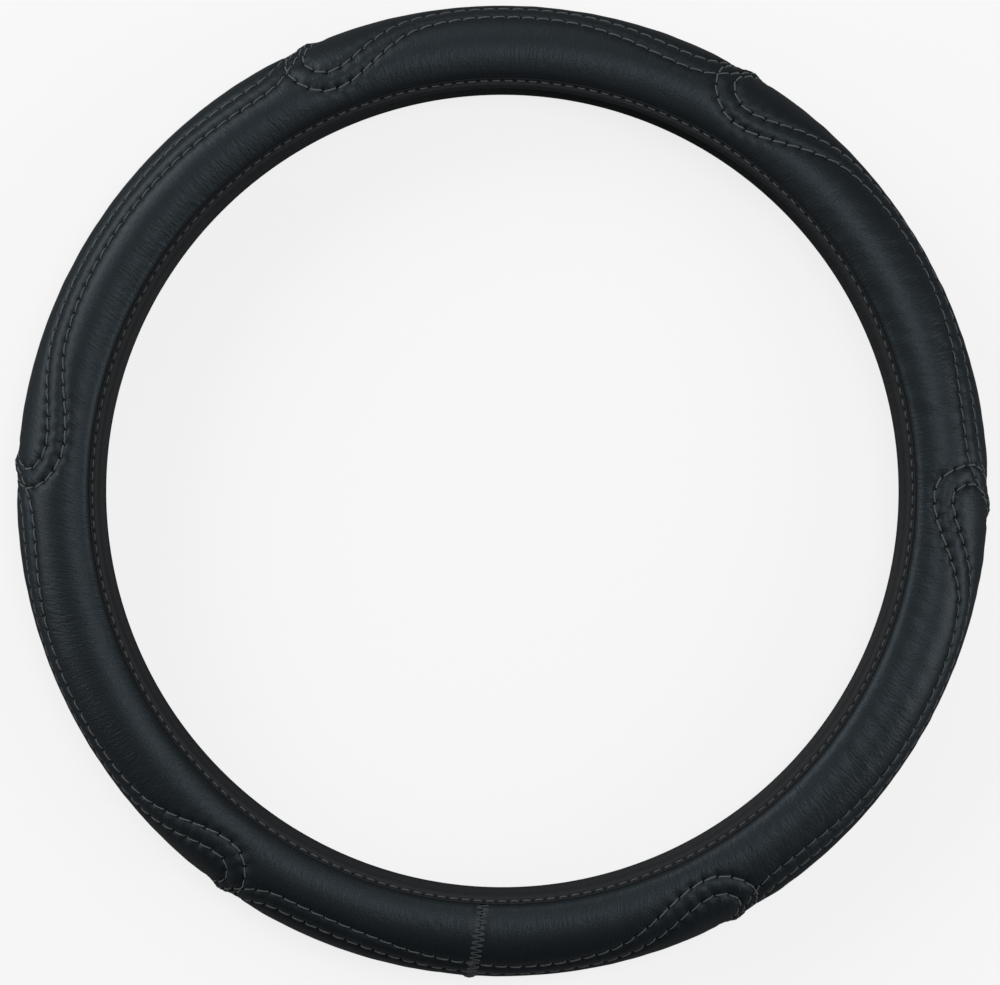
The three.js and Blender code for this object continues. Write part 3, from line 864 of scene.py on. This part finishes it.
def binding_threads(sizes, quilt, side, material):
    """The row of stitches along one binding tape, dipping at each end into the tape."""
    shares = SHARES * EDGE_STITCH + (1 - EDGE_STITCH) / 2
    stitches = quilt.edge_stitches
    clock = (np.arange(stitches)[:, None] + shares) * 2 * math.pi / stitches
    section = np.full_like(clock, side * quilt.edge_row)
    paths = tube_point(sizes, sizes.tape_outer - EDGE_SUNK * MM, clock, section)
    name = "face_binding_thread" if side > 0 else "back_binding_thread"
    outward = tube_outward(clock, section)
    return stitch_mesh(name, paths, outward, sizes.edge_thread_radius, material)


# The zigzag: how far it ends before the tape and how far its corners stray along the seam, in
# millimetres, and how uneven its width is
ZIGZAG_SHORT, ZIGZAG_STRAY, ZIGZAG_UNEVEN = 0.8, 0.15, 0.1


def lacing(sizes, quilt, material):
    """The zigzag that draws the sleeve's two ends together, from one edge to the other."""
    reach = quilt.covered_from - ZIGZAG_SHORT * MM
    strokes = 2 * round(2 * reach / sizes.lacing_pitch)
    half = sizes.lacing_width / 2
    chance = random.Random(7)
    corners = [
        (
            (half if i % 2 else -half) * chance.uniform(1 - ZIGZAG_UNEVEN, 1 + ZIGZAG_UNEVEN),
            reach * (2 * i / strokes - 1) + chance.uniform(-ZIGZAG_STRAY, ZIGZAG_STRAY) * MM,
        )
        for i in range(strokes + 1)
    ]
    stitches = []
    for start, end in zip(corners, corners[1:]):
        flat = np.array(start) + (np.array(end) - np.array(start)) * SHARES[:, None]
        aside = flat[:, 0] / quilt.shrink(flat[:, 1])
        flat[:, 0] = aside + quilt.seam + sizes.seam_lean * flat[:, 1]
        height = quilt.height(flat, pits=False)[0]
        stitches.append(quilt.surface(flat, height, sizes.edge_thread_radius))
    return stitch_mesh("seam_lacing", *zip(*stitches), sizes.edge_thread_radius, material)


# The rubber ring's steps: over its outside, over one rib in degrees, and round the wheel
OUTSIDE_STEPS = 32
RIB_TURNS = (0, 35, 65, 90, 115, 145, 180)
SPIN_STEPS = 300
SHARPEST = 50 * DEGREE  # shaded smooth up to this angle


def rubber_ring(sizes, quilt, material):
    """The rubber ring's ribbed section, spun round the wheel's axis."""
    shares = [2 * i / OUTSIDE_STEPS - 1 for i in range(OUTSIDE_STEPS + 1)]
    section = [(sizes.rubber_outer, quilt.edge_end * share) for share in shares]
    half = sizes.rib_width / 2 / sizes.rubber_inner
    height = sizes.rubber_inner - sizes.rib_crest_radius
    section.append((sizes.rubber_inner, quilt.edge_end))
    for i in range(sizes.rib_count):
        middle = sizes.rib_spread * (0.5 - i / (sizes.rib_count - 1))
        for turn in RIB_TURNS:
            radius = sizes.rubber_inner - height * math.sin(turn * DEGREE)
            section.append((radius, middle + half * math.cos(turn * DEGREE)))
    section.append((sizes.rubber_inner, -quilt.edge_end))
    across, up = sizes.ring_radius, sizes.tube_height
    points = [(across + r * math.cos(at), 0.0, up + r * math.sin(at)) for r, at in section]
    edges = [(i, (i + 1) % len(points)) for i in range(len(points))]
    made = mesh_object("rubber_liner", points, [], material, edges)
    bpy.ops.object.select_all(action="DESELECT")
    made.select_set(True)
    bpy.context.view_layer.objects.active = made
    bpy.ops.object.mode_set(mode="EDIT")
    bpy.ops.mesh.select_all(action="SELECT")
    bpy.ops.mesh.spin(steps=SPIN_STEPS, angle=2 * math.pi, center=(0, 0, 0), axis=(0, 0, 1))
    bpy.ops.mesh.select_all(action="SELECT")
    bpy.ops.mesh.remove_doubles(threshold=1e-6)
    bpy.ops.mesh.normals_make_consistent(inside=False)
    bpy.ops.object.mode_set(mode="OBJECT")
    bpy.ops.object.shade_smooth_by_angle(angle=SHARPEST)
    return made


def placed(piece, slot, *nodes):
    """Rides a finished piece on the cover's one body and hides the node it stands for; its slot is
    not used.
    """
    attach(piece, "root")
    if nodes:
        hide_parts(*nodes)


class CoverOperator:
    bl_options = {"REGISTER", "UNDO"}

    def execute(self, context):
        scene = context.scene
        self.add(scene.cover_sizes, scene.cover_colours, Quilt(scene.cover_sizes))
        return {"FINISHED"}


class COVER_OT_sleeve(CoverOperator, bpy.types.Operator):
    """Adds the quilted leather-look sleeve"""

    bl_idname = "cover.sleeve"
    bl_label = "Quilted sleeve"

    def add(self, sizes, colours, quilt):
        piece = sleeve_mesh(sizes, quilt, leather_finish(colours))
        placed(piece, "leather", "quilted_sleeve")


class COVER_OT_quilting(CoverOperator, bpy.types.Operator):
    """Adds the double rows of stitches round the grips"""

    bl_idname = "cover.quilting"
    bl_label = "Quilting stitches"

    def add(self, sizes, colours, quilt):
        thread = thread_finish("quilting_thread", colours.thread)
        for index in range(len(GRIPS)):
            placed(quilting(sizes, quilt, index, thread), "leather")


class COVER_OT_bindings(CoverOperator, bpy.types.Operator):
    """Adds the binding tapes on face and back with their stitches"""

    bl_idname = "cover.bindings"
    bl_label = "Edge bindings"

    def add(self, sizes, colours, quilt):
        tape = tape_finish(colours)
        thread = thread_finish("binding_thread", times(0.8, colours.thread))
        for side, node in ((1, "face_edge_tape"), (-1, "back_edge_tape")):
            piece = binding(sizes, quilt, side, tape)
            stitches = binding_threads(sizes, quilt, side, thread)
            placed(piece, "tape", node)
            placed(stitches, "tape")


class COVER_OT_lacing(CoverOperator, bpy.types.Operator):
    """Adds the zigzag over the butt seam"""

    bl_idname = "cover.lacing"
    bl_label = "Seam lacing"

    def add(self, sizes, colours, quilt):
        thread = thread_finish("lacing_thread", colours.lacing)
        placed(lacing(sizes, quilt, thread), "leather")


class COVER_OT_rubber(CoverOperator, bpy.types.Operator):
    """Adds the ribbed rubber ring"""

    bl_idname = "cover.rubber"
    bl_label = "Rubber ring"

    def add(self, sizes, colours, quilt):
        placed(rubber_ring(sizes, quilt, rubber_finish(colours)), "rubber", "rubber_ring")


# The floor's levels: what shadows are seen on, what other rays meet, and the share that glows
FLOOR_PALE, FLOOR_GREY, FLOOR_GLOW = 0.9, 0.22, 0.8


def floor_finish():
    """White to the camera but for the cover's shadow, and a plain grey to every other ray."""
    floor = Finish("pale_floor")
    floor.tree.nodes.remove(floor.shader)
    rays = floor.node("ShaderNodeLightPath", {}, {}, "Is Camera Ray")
    white = floor.node("ShaderNodeEmission", {}, {"Color": (1, 1, 1, 1), "Strength": 1.0})
    pale, grey = (
        floor.node("ShaderNodeBsdfDiffuse", {}, {"Color": (level, level, level, 1)})
        for level in (FLOOR_PALE, FLOOR_GREY)
    )
    seen = floor.node("ShaderNodeMixShader", {}, {0: FLOOR_GLOW, 1: pale, 2: white})
    both = floor.node("ShaderNodeMixShader", {}, {0: rays, 1: grey, 2: seen})
    surface = floor.tree.nodes["Material Output"].inputs["Surface"]
    floor.tree.links.new(both.socket, surface)
    return floor.material


def lamp(name, place, target, size, watts):
    light = bpy.data.lights.new(name, "AREA")
    light.shape = "DISK"
    light.size = size
    light.energy = watts
    made = bpy.data.objects.new(name, light)
    made.location = place
    made.rotation_euler = (Vector(target) - Vector(place)).to_track_quat("-Z", "Y").to_euler()
    bpy.context.scene.collection.objects.link(made)


# Soft lamps round the cover: name, place, size across, watts.
LAMPS = (
    ("overhead_lamp", (0.4, 0.2, 1.8), 0.7, 8.0),
    ("far_lamp", (0.0, 1.6, 0.9), 1.2, 4.0),
    ("upper_left_lamp", (-1.3, 1.1, 0.9), 1.1, 15.0),
    ("left_lamp", (-1.6, 0.1, 0.7), 1.2, 8.5),
    ("right_lamp", (1.6, -0.3, 0.8), 1.2, 12.5),
)


class COVER_OT_stage(CoverOperator, bpy.types.Operator):
    """Adds the floor, the lamps, the room and the camera above the face"""

    bl_idname = "cover.stage"
    bl_label = "Stage"

    def execute(self, context):
        scene = context.scene
        studio, sizes = scene.cover_studio, scene.cover_sizes
        bpy.ops.mesh.primitive_plane_add(size=8, location=(0, 0, 0))
        floor = context.active_object
        floor.name = "floor"
        floor.data.materials.append(floor_finish())

        middle = (0, 0, sizes.tube_height)
        for name, place, size, watts in LAMPS:
            lamp(name, place, middle, size, watts * studio.light)

        world = bpy.data.worlds.new("plain_room")
        world.use_nodes = True
        nodes, links = world.node_tree.nodes, world.node_tree.links
        rays = nodes.new("ShaderNodeLightPath")
        level = nodes.new("ShaderNodeMapRange")
        level.inputs["To Min"].default_value = studio.sky
        level.inputs["To Max"].default_value = 1.0
        links.new(rays.outputs["Is Camera Ray"], level.inputs["Value"])
        links.new(level.outputs["Result"], nodes["Background"].inputs["Strength"])
        nodes["Background"].inputs["Color"].default_value = (1, 1, 1, 1)
        scene.world = world

        rim = sizes.ring_radius + sizes.sleeve_outer
        distance = studio.camera_height - sizes.tube_height
        scale = studio.ring_pixels / rim
        data = bpy.data.cameras.new("camera")
        data.sensor_width = 36
        data.lens = scale * distance * data.sensor_width / studio.image_width
        camera = bpy.data.objects.new("camera", data)
        camera.location = (
            (studio.image_width / 2 - studio.centre_right) / scale,
            (studio.centre_down - studio.image_height / 2) / scale,
            studio.camera_height,
        )
        scene.collection.objects.link(camera)
        scene.camera = camera
        scene.view_settings.view_transform = "Standard"
        return {"FINISHED"}


OPERATORS = (
    COVER_OT_sleeve,
    COVER_OT_quilting,
    COVER_OT_bindings,
    COVER_OT_lacing,
    COVER_OT_rubber,
    COVER_OT_stage,
)


class COVER_PT_panel(bpy.types.Panel):
    bl_idname = "COVER_PT_panel"
    bl_label = "Steering wheel cover"
    bl_space_type = "VIEW_3D"
    bl_region_type = "UI"
    bl_category = "Cover"

    def draw(self, context):
        for operator in OPERATORS:
            self.layout.operator(operator.bl_idname)
        for setting in GROUPS:
            group = getattr(context.scene, setting)
            column = self.layout.column(align=True)
            for name in group.__annotations__:
                column.prop(group, name)


GROUPS = {"cover_sizes": CoverSizes, "cover_colours": CoverColours, "cover_studio": StudioSettings}
CLASSES = (*GROUPS.values(), *OPERATORS, COVER_PT_panel)


def register():
    for item in CLASSES:
        bpy.utils.register_class(item)
    for name, group in GROUPS.items():
        setattr(bpy.types.Scene, name, PointerProperty(type=group))


def unregister():
    for name in GROUPS:
        delattr(bpy.types.Scene, name)
    for item in reversed(CLASSES):
        bpy.utils.unregister_class(item)


def main():
    register()
    bpy.ops.cover.sleeve()
    bpy.ops.cover.rubber()
    bpy.ops.cover.bindings()
    bpy.ops.cover.quilting()
    bpy.ops.cover.lacing()
    bpy.ops.cover.stage()


if __name__ == "__main__":
    main()
